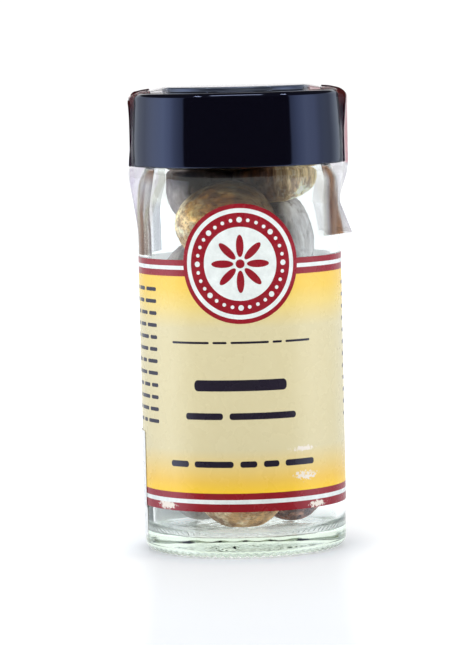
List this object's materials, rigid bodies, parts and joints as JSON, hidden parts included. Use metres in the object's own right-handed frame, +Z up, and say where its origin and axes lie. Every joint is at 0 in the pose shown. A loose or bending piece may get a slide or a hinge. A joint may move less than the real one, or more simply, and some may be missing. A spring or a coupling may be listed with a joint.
{
  "type": "jar of whole nutmegs",
  "caption": "Clear glass spice jar full of whole nutmegs, shut with a black stacking cap and a film seal, with a plain printed wrap label.",
  "frame": {"origin": "on the jar's axis, on the plane that the jar stands on", "axes": "+Z up along the jar's axis, -Y towards the front of the label with its round badge, +X to the right seen from the front"},
  "size_m": [0.0506, 0.0484, 0.1058],
  "materials": {
    "clear_glass": "clear moulded glass with a faint green cast in the thick base",
    "black_cap": "smooth black polypropylene with a soft gloss",
    "label_paper": "coated label paper, cream and gold with dark red bands",
    "sticker_paper": "plain white matt sticker",
    "seal_film": "thin clear film with a pale red tint",
    "nutmeg_shell": "dry wrinkled nutmeg, grey brown to tan"
  },
  "bodies": {
    "root": {"glass_jar": "clear_glass", "cap": "black_cap", "label": "label_paper", "back_sticker": "sticker_paper", "seal_strip": "seal_film", "nutmegs": "nutmeg_shell"}
  },
  "joints": []
}
